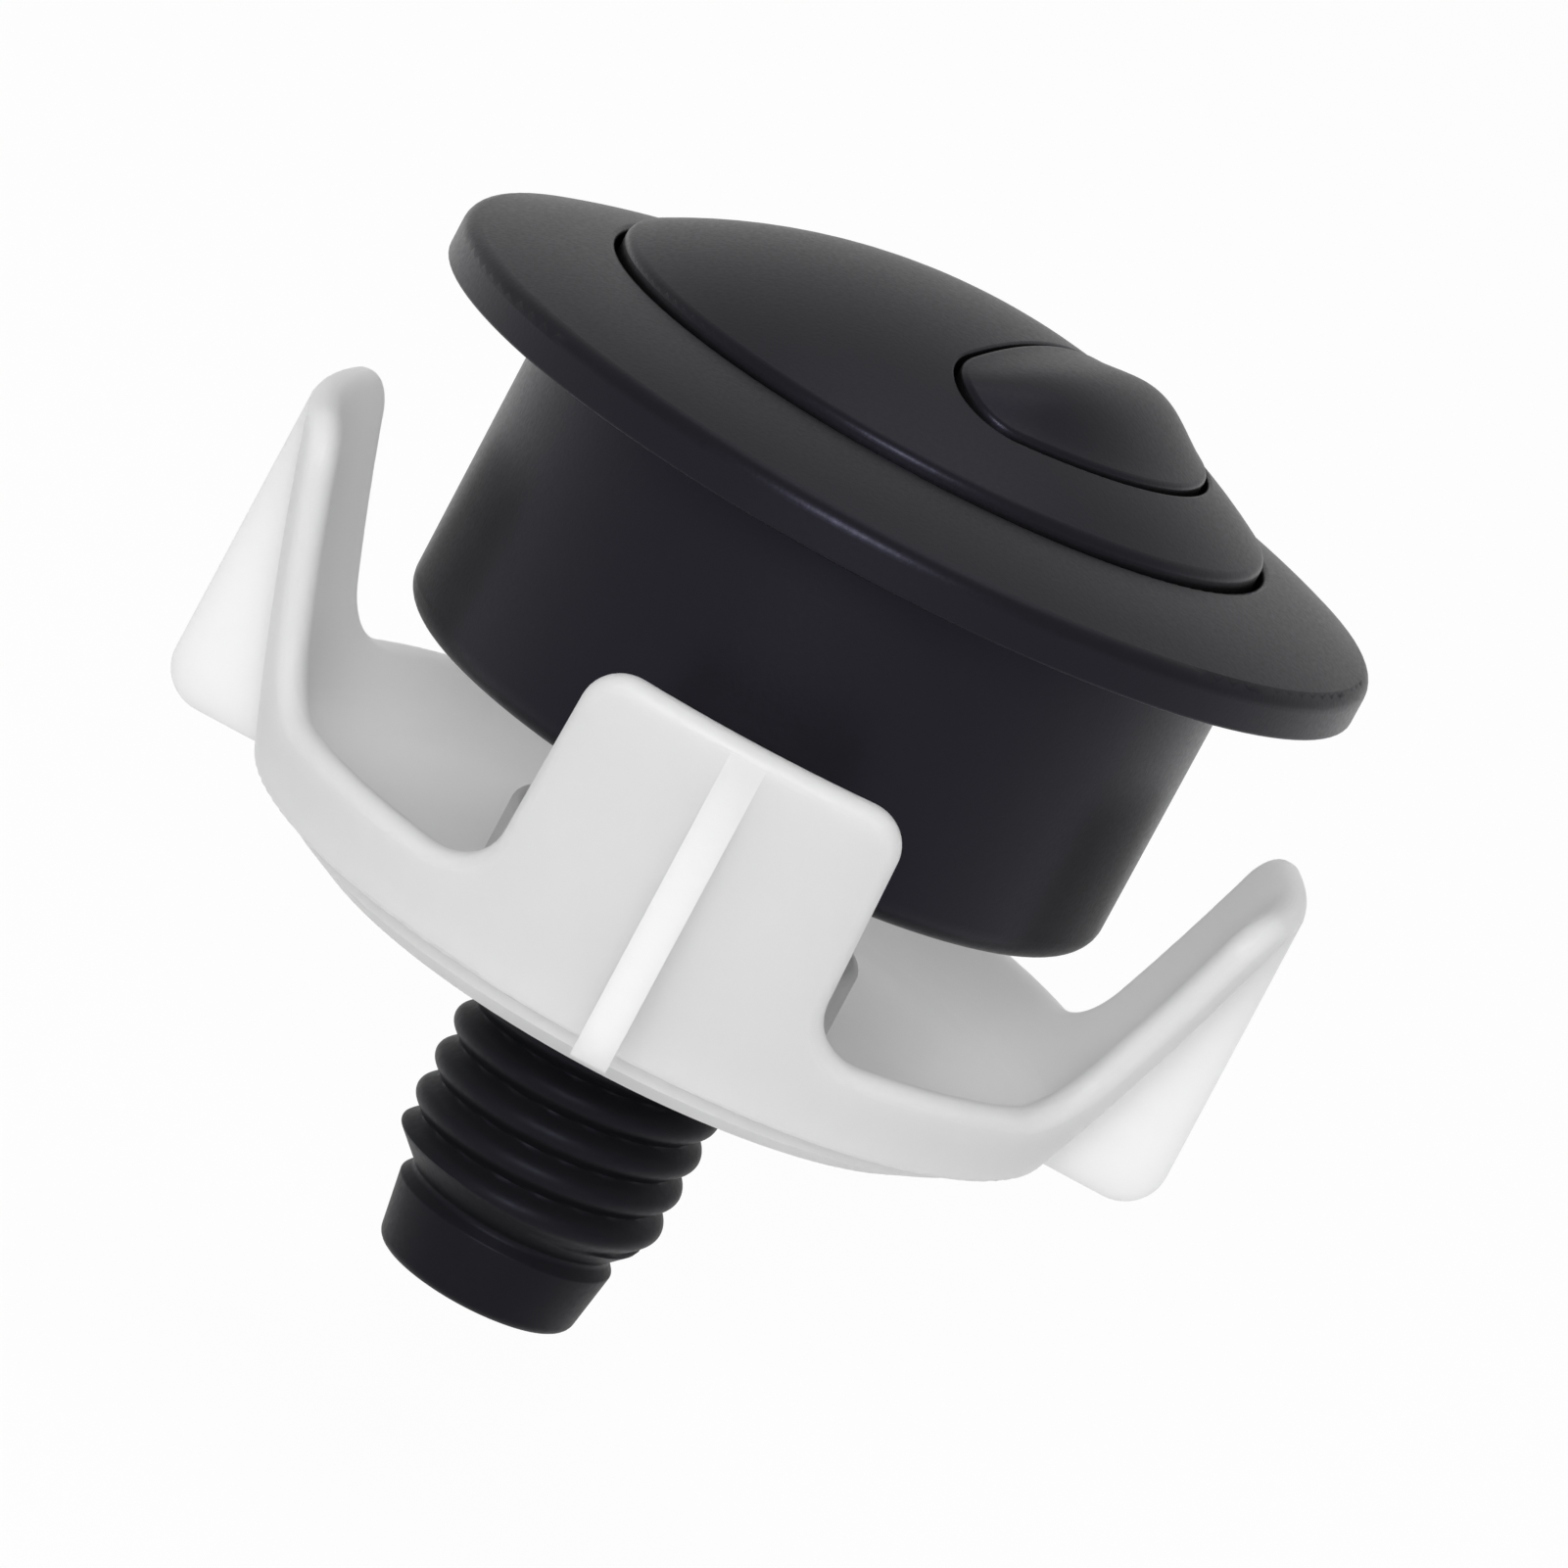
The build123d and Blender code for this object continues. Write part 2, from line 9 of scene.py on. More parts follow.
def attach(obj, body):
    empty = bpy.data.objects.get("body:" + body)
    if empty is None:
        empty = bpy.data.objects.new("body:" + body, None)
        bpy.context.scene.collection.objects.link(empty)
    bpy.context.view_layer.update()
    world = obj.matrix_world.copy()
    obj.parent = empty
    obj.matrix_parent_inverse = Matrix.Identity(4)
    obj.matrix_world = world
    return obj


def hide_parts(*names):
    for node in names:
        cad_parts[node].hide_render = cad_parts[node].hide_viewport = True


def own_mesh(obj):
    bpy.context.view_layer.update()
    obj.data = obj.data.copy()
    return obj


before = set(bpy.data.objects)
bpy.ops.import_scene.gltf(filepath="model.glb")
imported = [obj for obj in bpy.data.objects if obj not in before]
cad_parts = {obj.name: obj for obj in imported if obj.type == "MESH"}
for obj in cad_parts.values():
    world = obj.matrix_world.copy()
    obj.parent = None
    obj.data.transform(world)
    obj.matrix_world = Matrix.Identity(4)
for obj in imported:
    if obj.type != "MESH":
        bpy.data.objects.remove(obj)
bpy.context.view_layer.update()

MM = 0.001

# Bezel housing: the flange that sits on the lid and the barrel that goes through its hole.
# One moulding of ABS, sprayed with a satin black lacquer that leaves a fine grain.
lacquer_colour = "#0d0c0c"
lacquer_shade = "#131112"
lacquer_roughness = 0.34
lacquer_specular = 0.24
lacquer_sheen = "#d4d4fa"      # tints what it reflects a little blue
lacquer_grain = 0.35 * MM      # the spray's grain, drawn about twice too coarse, so that it shows
lacquer_grain_depth = 0.01 * MM
lacquer_swirl = 9.0 * MM       # slow changes of tone over the surface
plastic_ior = 1.5
gloss_spread = 0.04            # a plastic's roughness strays this much either way
noise_low = 0.3                # nearly all of a noise lies between these two
noise_high = 0.7
drift_detail = 3.0
grain_detail = 2.0


def linear(text):
    """An sRGB hex colour as the linear colour that a shader takes."""
    parts = [int(text[i:i + 2], 16) / 255 for i in (1, 3, 5)]
    return [c / 12.92 if c <= 0.04045 else ((c + 0.055) / 1.055) ** 2.4 for c in parts] + [1.0]


def add(tree, kind, inputs=None, **settings):
    """Adds a node. An input takes a value, a socket, or a node for its first output."""
    node = tree.nodes.new(kind)
    for name, value in settings.items():
        setattr(node, name, value)
    for key, value in (inputs or {}).items():
        source = value.outputs[0] if isinstance(value, bpy.types.Node) else value
        if isinstance(source, bpy.types.NodeSocket):
            tree.links.new(source, node.inputs[key])
        else:
            node.inputs[key].default_value = source
    return node


def grained_plastic(name, colour, shade, roughness, specular, grain, grain_depth, swirl, **more):
    """A moulded or sprayed plastic: two close tones that drift together, under a fine grain."""
    material = bpy.data.materials.new(name)
    material.use_nodes = True
    tree = material.node_tree
    tree.nodes.clear()
    where = add(tree, "ShaderNodeTexCoord").outputs["Object"]
    drift = add(tree, "ShaderNodeTexNoise", {
        "Vector": where, "Scale": 1 / swirl, "Detail": drift_detail})
    tone = add(tree, "ShaderNodeMix", {
        "Factor": drift.outputs["Fac"], "A": linear(colour), "B": linear(shade)}, data_type="RGBA")
    fine = add(tree, "ShaderNodeTexNoise", {
        "Vector": where, "Scale": 1 / grain, "Detail": grain_detail})
    gloss = add(tree, "ShaderNodeMapRange", {
        "Value": fine.outputs["Fac"], "From Min": noise_low, "From Max": noise_high,
        "To Min": roughness - gloss_spread, "To Max": roughness + gloss_spread})
    bump = add(tree, "ShaderNodeBump", {
        "Height": fine.outputs["Fac"], "Distance": grain_depth, "Strength": 1.0})
    surface = add(tree, "ShaderNodeBsdfPrincipled", {
        "Base Color": tone.outputs["Result"], "Roughness": gloss.outputs["Result"],
        "Normal": bump, "IOR": plastic_ior, "Specular IOR Level": specular, **more})
    add(tree, "ShaderNodeOutputMaterial", {"Surface": surface})
    return material


def keep(node, material):
    """A CAD node whose shape is right stays, with the material of the real piece."""
    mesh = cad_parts[node].data
    mesh.materials.clear()
    mesh.materials.append(material)


# Satin black lacquer: to the eye a deep black with a soft, slightly cool gloss along its edges.
satin_lacquer = grained_plastic(
    "satin_black_lacquer", lacquer_colour, lacquer_shade, lacquer_roughness, lacquer_specular,
    lacquer_grain, lacquer_grain_depth, lacquer_swirl, **{"Specular Tint": linear(lacquer_sheen)})
keep("bezel_housing", satin_lacquer)

# Threaded stem: the hollow tail that the clamping nut runs on, with its foot inside the housing.
# Black nylon, moulded in one piece. The coarse right-hand thread is a smooth, rounded wave.
floor_top = -22.0
foot_top = -19.5
foot_radius = 17.0
guide_seat_radius = 9.2
guide_height = 4.0
stem_bore = 6.5
stem_low = -69.4
stem_seat = 10.7               # fits the hole in the housing's floor
seat_end = -25.8
seat_slope = 1.2               # height over which the seat narrows to the thread's root
stem_root = 9.4
stem_crest = 10.7
stem_pitch = 3.13
crest_height = -59.3           # a crest stands here at azimuth 0
thread_high = -29.0
thread_runout = 1.4            # height over which the thread grows at its upper end
flank_steepness = 1.3          # rise over run of the thread's flanks
crest_softness = 1.1
groove_softness = 1.1
neck_radius = 8.1
neck_height = -63.0
neck_rounding = 0.5
neck_cone = 1.0                # widening over height of the cone that ends the thread at the neck
collar_top_radius = 8.87
collar_top = -64.0
collar_low_radius = 8.0
collar_rounding = 1.0
collar_edge_rounding = 0.3
screw_circle = 13.9
screw_count = 4
first_screw = radians(45)
hole_radius = 1.7
hole_segments = 24
bore_margin = 1.0              # nothing closer to the bore than this is raised into thread
rows_per_mm = 6
stem_segments = 144
arc_steps = 6
turning_circle = 1.0           # the circle that outlines are turned on; its radius doesn't show
crisp_angle = radians(35)      # edges bent more than this stay crisp
weld = 0.001                   # points nearer than this become one
nylon_colour = "#111113"
nylon_shade = "#151517"
nylon_roughness = 0.45
nylon_specular = 0.12
nylon_sheen = "#dcdcff"
nylon_grain = 0.5 * MM
nylon_grain_depth = 0.006 * MM
nylon_swirl = 7.0 * MM


def rounded_outline(corners):
    """The rows (radius, height) of an outline whose corners are (radius, height, rounding)."""
    rows = []
    befores = corners[-1:] + corners[:-1]
    afters = corners[1:] + corners[:1]
    for before, corner, after in zip(befores, corners, afters):
        tip = Vector(corner[:2])
        rounding = corner[2]
        if not rounding:
            rows.append(tuple(tip))
            continue
        back = (Vector(before[:2]) - tip).normalized()
        forth = (Vector(after[:2]) - tip).normalized()
        half = back.angle(forth) / 2
        centre = tip + (back + forth).normalized() * rounding / sin(half)
        first = tip + back * rounding / tan(half) - centre
        last = tip + forth * rounding / tan(half) - centre
        for step in range(arc_steps + 1):
            rows.append(tuple(centre + first.lerp(last, step / arc_steps).normalized() * rounding))
    return rows


def outline_mesh(name, rows, closed):
    """A line of edges to turn round Z. X is the radius less the turning circle's, Y the depth."""
    mesh = bpy.data.meshes.new(name)
    points = [((radius - turning_circle) * MM, -height * MM, 0.0) for radius, height in rows]
    edges = [(i, i + 1) for i in range(len(rows) - 1)]
    if closed:
        edges.append((len(rows) - 1, 0))
    mesh.from_pydata(points, edges, [])
    return mesh


def node_tree(name, **sizes):
    """A tree that takes a shape and named sizes of the given kinds, and the outputs with them."""
    tree = bpy.data.node_groups.new(name, "GeometryNodeTree")
    tree.interface.new_socket("Shape", in_out="INPUT", socket_type="NodeSocketGeometry")
    for size, kind in sizes.items():
        tree.interface.new_socket(size, in_out="INPUT", socket_type="NodeSocket" + kind)
    tree.interface.new_socket("Shape", in_out="OUTPUT", socket_type="NodeSocketGeometry")
    return tree, add(tree, "NodeGroupInput").outputs


def made(name, shape, body, slot, node, *steps):
    """Runs trees on a shape and puts the plain mesh on its body in place of a CAD node."""
    piece = bpy.data.objects.new(name, shape)
    bpy.context.scene.collection.objects.link(piece)
    for tree, sizes in steps:
        modifier = piece.modifiers.new(tree.name, "NODES")
        modifier.node_group = tree
        for item in tree.interface.items_tree:
            if item.name in sizes:
                modifier[item.identifier] = sizes[item.name]
    finished = piece.evaluated_get(bpy.context.evaluated_depsgraph_get())
    mesh = bpy.data.meshes.new_from_object(finished)
    piece.modifiers.clear()
    for index in reversed(range(len(mesh.materials))):
        if mesh.materials[index] is None:       # a cut leaves an empty slot behind
            mesh.materials.pop(index=index)
    piece.data = mesh
    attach(piece, body)
    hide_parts(node)
    return piece


# The turning tree spins an outline round Z and raises a right-hand thread on its outside.
# The thread is a triangle wave along the axis, softened at its crests and in its grooves.
# The wave is 0.5 on a crest and 0 midway between two. A cone cuts the thread off at each end.
turning, size = node_tree(
    "turned_and_threaded", Segments="Int", Core="Float", Root="Float", Crest="Float", Pitch="Float",
    CrestHeight="Float", Flank="Float", CrestSoftness="Float", GrooveSoftness="Float",
    LowEnd="Float", LowSlope="Float", HighEnd="Float", HighSlope="Float")
spun = add(turning, "GeometryNodeCurveToMesh", {
    "Curve": add(turning, "GeometryNodeCurvePrimitiveCircle", {
        "Resolution": size["Segments"], "Radius": turning_circle * MM}),
    "Profile Curve": add(turning, "GeometryNodeMeshToCurve", {"Mesh": size["Shape"]})})
position = add(turning, "GeometryNodeInputPosition")
axes = add(turning, "ShaderNodeSeparateXYZ", {0: position}).outputs
radius = add(turning, "ShaderNodeMath", {0: axes["X"], 1: axes["X"]}, operation="MULTIPLY")
radius = add(turning, "ShaderNodeMath", {
    0: axes["Y"], 1: axes["Y"], 2: radius}, operation="MULTIPLY_ADD")
radius = add(turning, "ShaderNodeMath", {0: radius}, operation="SQRT")
azimuth = add(turning, "ShaderNodeMath", {0: axes["Y"], 1: axes["X"]}, operation="ARCTAN2")
turns = add(turning, "ShaderNodeMath", {0: azimuth, 1: 2 * pi}, operation="DIVIDE")
wave = add(turning, "ShaderNodeMath", {0: axes["Z"], 1: size["CrestHeight"]}, operation="SUBTRACT")
wave = add(turning, "ShaderNodeMath", {0: wave, 1: size["Pitch"]}, operation="DIVIDE")
wave = add(turning, "ShaderNodeMath", {0: wave, 1: turns}, operation="SUBTRACT")
wave = add(turning, "ShaderNodeMath", {0: wave, 1: 0.5}, operation="ADD")
wave = add(turning, "ShaderNodeMath", {0: wave, 1: 0.5}, operation="PINGPONG")
slope = add(turning, "ShaderNodeMath", {0: size["Pitch"], 1: size["Flank"]}, operation="MULTIPLY")
flank = add(turning, "ShaderNodeMath", {0: wave, 1: slope}, operation="MULTIPLY")
depth = add(turning, "ShaderNodeMath", {0: size["Crest"], 1: size["Root"]}, operation="SUBTRACT")
flank = add(turning, "ShaderNodeMath", {
    0: flank, 1: depth, 2: size["CrestSoftness"]}, operation="SMOOTH_MIN")
flank = add(turning, "ShaderNodeMath", {
    0: flank, 1: 0.0, 2: size["GrooveSoftness"]}, operation="SMOOTH_MAX")
thread = add(turning, "ShaderNodeMath", {0: flank, 1: size["Root"]}, operation="ADD")
for widening, first, last in (("LowSlope", axes["Z"], size["LowEnd"]),
                              ("HighSlope", size["HighEnd"], axes["Z"])):
    run = add(turning, "ShaderNodeMath", {0: first, 1: last}, operation="SUBTRACT")
    cone = add(turning, "ShaderNodeMath", {
        0: run, 1: size[widening], 2: size["Root"]}, operation="MULTIPLY_ADD")
    thread = add(turning, "ShaderNodeMath", {0: thread, 1: cone}, operation="MINIMUM")
thread = add(turning, "ShaderNodeMath", {0: thread, 1: radius}, operation="MAXIMUM")
swell = add(turning, "ShaderNodeMath", {0: thread, 1: radius}, operation="DIVIDE")
outward = add(turning, "ShaderNodeCombineXYZ", {"X": swell, "Y": swell, "Z": 1.0})
swollen = add(turning, "ShaderNodeVectorMath", {0: position, 1: outward}, operation="MULTIPLY")
outside = add(turning, "FunctionNodeCompare", {
    "A": radius, "B": size["Core"]}, operation="GREATER_THAN")
threaded = add(turning, "GeometryNodeSetPosition", {
    "Geometry": spun, "Selection": outside, "Position": swollen})
welded = add(turning, "GeometryNodeMergeByDistance", {"Geometry": threaded, "Distance": weld * MM})
add(turning, "NodeGroupOutput", {"Shape": welded})

# The finishing tree shades a piece smooth with its sharp edges kept, and gives it its material.
finishing, size = node_tree("finished_moulding", CrispAngle="Float", Material="Material")
bend = add(finishing, "GeometryNodeInputMeshEdgeAngle").outputs["Unsigned Angle"]
sharp = add(finishing, "FunctionNodeCompare", {
    "A": bend, "B": size["CrispAngle"]}, operation="GREATER_THAN")
smooth = add(finishing, "GeometryNodeSetShadeSmooth", {
    "Geometry": size["Shape"], "Shade Smooth": True})
crisp = add(finishing, "GeometryNodeSetShadeSmooth", {
    "Geometry": smooth, "Selection": sharp, "Shade Smooth": False}, domain="EDGE")
whole = add(finishing, "GeometryNodeRealizeInstances", {"Geometry": crisp})
add(finishing, "NodeGroupOutput", {"Shape": add(finishing, "GeometryNodeSetMaterial", {
    "Geometry": whole, "Material": size["Material"]})})

# The ring tree sets points evenly round the axis, for the stem's screws and their holes.
ring, size = node_tree("ring_of_points", Count="Int", Radius="Float", First="Float", Height="Float")
spacing = add(ring, "ShaderNodeMath", {0: 2 * pi, 1: size["Count"]}, operation="DIVIDE")
angle = add(ring, "ShaderNodeMath", {
    0: add(ring, "GeometryNodeInputIndex"), 1: spacing, 2: size["First"]}, operation="MULTIPLY_ADD")
across = add(ring, "ShaderNodeMath", {0: angle}, operation="COSINE")
across = add(ring, "ShaderNodeMath", {0: across, 1: size["Radius"]}, operation="MULTIPLY")
along = add(ring, "ShaderNodeMath", {0: angle}, operation="SINE")
along = add(ring, "ShaderNodeMath", {0: along, 1: size["Radius"]}, operation="MULTIPLY")
position = add(ring, "ShaderNodeCombineXYZ", {"X": across, "Y": along, "Z": size["Height"]})
points = add(ring, "GeometryNodePoints", {"Count": size["Count"], "Position": position})
add(ring, "NodeGroupOutput", {"Shape": points})

# The drilling tree cuts a ring of upright holes.
drilling, size = node_tree(
    "ring_of_holes", Count="Int", Circle="Float", First="Float", Height="Float",
    HoleSegments="Int", HoleRadius="Float", Depth="Float")
drill = add(drilling, "GeometryNodeMeshCylinder", {
    "Vertices": size["HoleSegments"], "Radius": size["HoleRadius"], "Depth": size["Depth"]})
spots = add(drilling, "GeometryNodeGroup", node_tree=ring)
for key, source in (("Count", "Count"), ("Radius", "Circle"), ("First", "First"),
                    ("Height", "Height")):
    drilling.links.new(size[source], spots.inputs[key])
drills = add(drilling, "GeometryNodeInstanceOnPoints", {
    "Points": spots, "Instance": drill.outputs["Mesh"]})
drills = add(drilling, "GeometryNodeRealizeInstances", {"Geometry": drills})
drilled = add(drilling, "GeometryNodeMeshBoolean", {
    "Mesh 1": size["Shape"], "Mesh 2": drills}, operation="DIFFERENCE", solver="MANIFOLD")
add(drilling, "NodeGroupOutput", {"Shape": drilled})

cone_foot = neck_height + (stem_root - neck_radius) / neck_cone
thread_start = seat_end - seat_slope
thread_rows = ceil((thread_start - cone_foot) * rows_per_mm)
guide_seat = foot_top - guide_height
foot_outline = [
    (stem_bore, stem_low, 0), (stem_bore, guide_seat, 0), (guide_seat_radius, guide_seat, 0),
    (guide_seat_radius, foot_top, 0), (foot_radius, foot_top, 0), (foot_radius, floor_top, 0),
    (stem_seat, floor_top, 0), (stem_seat, seat_end, 0)]
thread_outline = [
    (stem_root, thread_start + (cone_foot - thread_start) * i / thread_rows, 0)
    for i in range(thread_rows + 1)]
collar_outline = [
    (neck_radius, neck_height, neck_rounding),
    (collar_top_radius, collar_top, collar_edge_rounding),
    (collar_low_radius, stem_low, collar_rounding)]
stem_rows = rounded_outline(foot_outline + thread_outline + collar_outline)

# Moulded black nylon: to the eye a flat near-black, with a dim cool streak along each turn.
black_nylon = grained_plastic(
    "moulded_black_nylon", nylon_colour, nylon_shade, nylon_roughness, nylon_specular,
    nylon_grain, nylon_grain_depth, nylon_swirl, **{"Specular Tint": linear(nylon_sheen)})
made("moulded_tail", outline_mesh("tail_outline", stem_rows, True),
     "housing", "black_stem_plastic", "threaded_stem",
     (turning, {
         "Segments": stem_segments, "Core": (stem_bore + bore_margin) * MM,
         "Root": stem_root * MM, "Crest": stem_crest * MM, "Pitch": stem_pitch * MM,
         "CrestHeight": crest_height * MM, "Flank": flank_steepness,
         "CrestSoftness": crest_softness * MM, "GrooveSoftness": groove_softness * MM,
         "LowEnd": cone_foot * MM, "LowSlope": neck_cone, "HighEnd": thread_high * MM,
         "HighSlope": (stem_crest - stem_root) / thread_runout}),
     (drilling, {
         "Count": screw_count, "Circle": screw_circle * MM, "First": first_screw,
         "Height": (floor_top + foot_top) / 2 * MM, "HoleSegments": hole_segments,
         "HoleRadius": hole_radius * MM, "Depth": 2 * (foot_top - floor_top) * MM}),
     (finishing, {"CrispAngle": crisp_angle, "Material": black_nylon}))

# Stem screws: four pan-head screws that hold the tail's foot down on the housing's floor.
# Zinc-plated steel, cold-headed, with a cross recess and a rolled thread that cuts its own way.
screw_low = -24.0
screw_head_radius = 2.5
screw_head_height = 1.5
screw_head_side = 1.0          # height of the head's upright side
screw_head_flat = 1.2          # radius of its flat top
screw_head_rounding = 0.8
head_foot_rounding = 0.1
head_side_rounding = 0.4
screw_crest = 1.4
screw_root = 1.05
screw_pitch = 1.1
screw_tip = 0.5
screw_flank = 1.2              # rise over run of a screw thread's flanks
screw_crest_softness = 0.1
screw_groove_softness = 0.15
screw_cone = 1.0               # widening over height of the cones that end a screw's thread
recess_length = 2.2
recess_width = 0.5
recess_depth = 0.8
screw_segments = 32
zinc_colour = "#c6c4bf"
zinc_shade = "#b4b3b2"
zinc_roughness = 0.3
zinc_patch = 1.2 * MM          # size of the clouds in the plating
dull_spread = 0.08             # a steel's roughness strays this much either way
steel_grain = 1 / 8            # size of a steel's grain, as a share of its patches
steel_grain_depth = 0.002 * MM
cloud_detail = 4.0


def bright_steel(name, colour, shade, roughness, patch):
    """Plated or drawn steel: a bright metal that clouds and dulls in patches."""
    material = bpy.data.materials.new(name)
    material.use_nodes = True
    tree = material.node_tree
    tree.nodes.clear()
    where = add(tree, "ShaderNodeTexCoord").outputs["Object"]
    cloud = add(tree, "ShaderNodeTexNoise", {
        "Vector": where, "Scale": 1 / patch, "Detail": cloud_detail})
    tone = add(tree, "ShaderNodeMix", {
        "Factor": cloud.outputs["Fac"], "A": linear(colour), "B": linear(shade)}, data_type="RGBA")
    dull = add(tree, "ShaderNodeMapRange", {
        "Value": cloud.outputs["Fac"], "From Min": noise_low, "From Max": noise_high,
        "To Min": roughness - dull_spread, "To Max": roughness + dull_spread})
    fine = add(tree, "ShaderNodeTexNoise", {
        "Vector": where, "Scale": 1 / (patch * steel_grain), "Detail": grain_detail})
    bump = add(tree, "ShaderNodeBump", {
        "Height": fine.outputs["Fac"], "Distance": steel_grain_depth, "Strength": 1.0})
    surface = add(tree, "ShaderNodeBsdfPrincipled", {
        "Base Color": tone.outputs["Result"], "Metallic": 1.0,
        "Roughness": dull.outputs["Result"], "Normal": bump})
    add(tree, "ShaderNodeOutputMaterial", {"Surface": surface})
    return material


# Zinc-plated steel: to the eye a pale, faintly warm grey metal, a little cloudy.
zinc_plate = bright_steel("zinc_plated_steel", zinc_colour, zinc_shade, zinc_roughness, zinc_patch)

# The heading tree cuts the cross in a screw's head and sets a copy of the screw at each point
# of a ring.
heading, size = node_tree(
    "cross_headed_screws", Top="Float", Length="Float", Width="Float", Depth="Float",
    Count="Int", Circle="Float", First="Float")
deep = add(heading, "ShaderNodeMath", {0: size["Depth"], 1: 2.0}, operation="MULTIPLY")
raised = add(heading, "ShaderNodeCombineXYZ", {"Z": size["Top"]})
bars = []
for across, along in (("Length", "Width"), ("Width", "Length")):
    extent = add(heading, "ShaderNodeCombineXYZ", {"X": size[across], "Y": size[along], "Z": deep})
    bar = add(heading, "GeometryNodeMeshCube", {"Size": extent})
    bars.append(add(heading, "GeometryNodeTransform", {"Geometry": bar, "Translation": raised}))
slotted = add(heading, "GeometryNodeMeshBoolean", {
    "Mesh 1": size["Shape"], "Mesh 2": bars[0]}, operation="DIFFERENCE", solver="MANIFOLD")
heading.links.new(bars[1].outputs[0], slotted.inputs["Mesh 2"])
spots = add(heading, "GeometryNodeGroup", node_tree=ring)
for key, source in (("Count", "Count"), ("Radius", "Circle"), ("First", "First")):
    heading.links.new(size[source], spots.inputs[key])
copies = add(heading, "GeometryNodeInstanceOnPoints", {"Points": spots, "Instance": slotted})
add(heading, "NodeGroupOutput", {
    "Shape": add(heading, "GeometryNodeRealizeInstances", {"Geometry": copies})})


def pan_head(seat, radius, side, flat, top, rounding):
    """The outline of a pan head, from its edge on the seat to the flat of its top."""
    return [(radius, seat, head_foot_rounding), (radius, seat + side, head_side_rounding),
            (flat, top, rounding)]


def cross_screws(name, node, body, low, shank_top, head, top, root, crest, pitch,
                 count, circle, first):
    """Cross-headed screws in place of a CAD node, with the head's outline over a threaded shank."""
    shank_low = low + screw_tip
    shank_rows = ceil((shank_top - low) * rows_per_mm)
    shank = [(root, shank_low + (shank_top - shank_low) * i / shank_rows, 0)
             for i in range(shank_rows + 1)]
    tip_radius = root / 2
    core = root / 4                # points nearer to the axis than this stay where they are
    rows = rounded_outline([(0, low, 0), (tip_radius, low, 0)] + shank + head + [(0, top, 0)])[::-1]
    made(name, outline_mesh(name + "_outline", rows, False), body, "screw_steel", node,
         (turning, {
             "Segments": screw_segments, "Core": core * MM, "Root": root * MM,
             "Crest": crest * MM, "Pitch": pitch * MM, "CrestHeight": low * MM,
             "Flank": screw_flank, "CrestSoftness": screw_crest_softness * MM,
             "GrooveSoftness": screw_groove_softness * MM, "LowEnd": shank_low * MM,
             "LowSlope": screw_cone, "HighEnd": shank_top * MM, "HighSlope": screw_cone}),
         (heading, {
             "Top": top * MM, "Length": recess_length * MM, "Width": recess_width * MM,
             "Depth": recess_depth * MM, "Count": count, "Circle": circle * MM, "First": first}),
         (finishing, {"CrispAngle": crisp_angle, "Material": zinc_plate}))


stem_screw_top = foot_top + screw_head_height
stem_screw_head = pan_head(
    foot_top, screw_head_radius, screw_head_side, screw_head_flat, stem_screw_top,
    screw_head_rounding)
cross_screws("tail_screws", "stem_screws", "housing", screw_low, foot_top, stem_screw_head,
             stem_screw_top, screw_root, screw_crest, screw_pitch,
             count=screw_count, circle=screw_circle, first=first_screw)

# Plunger guide: the insert at the tail's top that keeps the two plungers apart.
# Natural acetal, moulded, off-white and a little waxy, because light goes some way into it.
acetal_colour = "#e3e1d8"
acetal_shade = "#dddbd1"
acetal_roughness = 0.35
acetal_specular = 0.5
acetal_grain = 0.5 * MM
acetal_grain_depth = 0.004 * MM
acetal_swirl = 10.0 * MM
acetal_glow = 0.15             # share of the light that goes in and comes out again
acetal_reach = 1.5 * MM        # how far it goes
acetal_warmth = (1.0, 0.9, 0.7)    # red goes farther than blue

# Natural acetal: to the eye a warm off-white with softened shadows and a clean sheen.
natural_acetal = grained_plastic(
    "natural_acetal", acetal_colour, acetal_shade, acetal_roughness, acetal_specular,
    acetal_grain, acetal_grain_depth, acetal_swirl, **{
        "Subsurface Weight": acetal_glow, "Subsurface Radius": acetal_warmth,
        "Subsurface Scale": acetal_reach})
keep("plunger_guide", natural_acetal)

# Full-flush spring: pushes the dome back up. It stands on the plunger guide, round the plungers.
# Stainless spring wire, coiled cold, with most of its last turn closed down at each end.
full_spring_radius = 7.9
full_spring_wire = 1.0
full_spring_turns = 4.5
full_spring_top = -6.0
closed_turns = 0.75
wire_sides = 16
steps_per_turn = 48
wire_colour = "#c2c1bf"
wire_shade = "#b3b2b0"
wire_roughness = 0.26
wire_patch = 0.8 * MM

# Drawn stainless wire: to the eye an even bright grey, with a long highlight along each turn.
spring_wire = bright_steel(
    "drawn_stainless_wire", wire_colour, wire_shade, wire_roughness, wire_patch)

# The coiling tree winds a wire round an upright axis from one height to another.
# The rise is even, except over the closed turns at the ends, where the wire climbs only by its
# own thickness a turn.
coiling, size = node_tree(
    "coiled_wire", CoilRadius="Float", Wire="Float", Turns="Float", ClosedTurns="Float",
    Low="Float", High="Float", X="Float", Y="Float", Steps="Int", Sides="Int")
last = add(coiling, "ShaderNodeMath", {0: size["Steps"], 1: size["Turns"]}, operation="MULTIPLY")
count = add(coiling, "ShaderNodeMath", {0: last, 1: 1.0}, operation="ADD")
turn = add(coiling, "ShaderNodeMath", {
    0: add(coiling, "GeometryNodeInputIndex"), 1: size["Steps"]}, operation="DIVIDE")
angle = add(coiling, "ShaderNodeMath", {0: turn, 1: 2 * pi}, operation="MULTIPLY")
across = add(coiling, "ShaderNodeMath", {0: angle}, operation="COSINE")
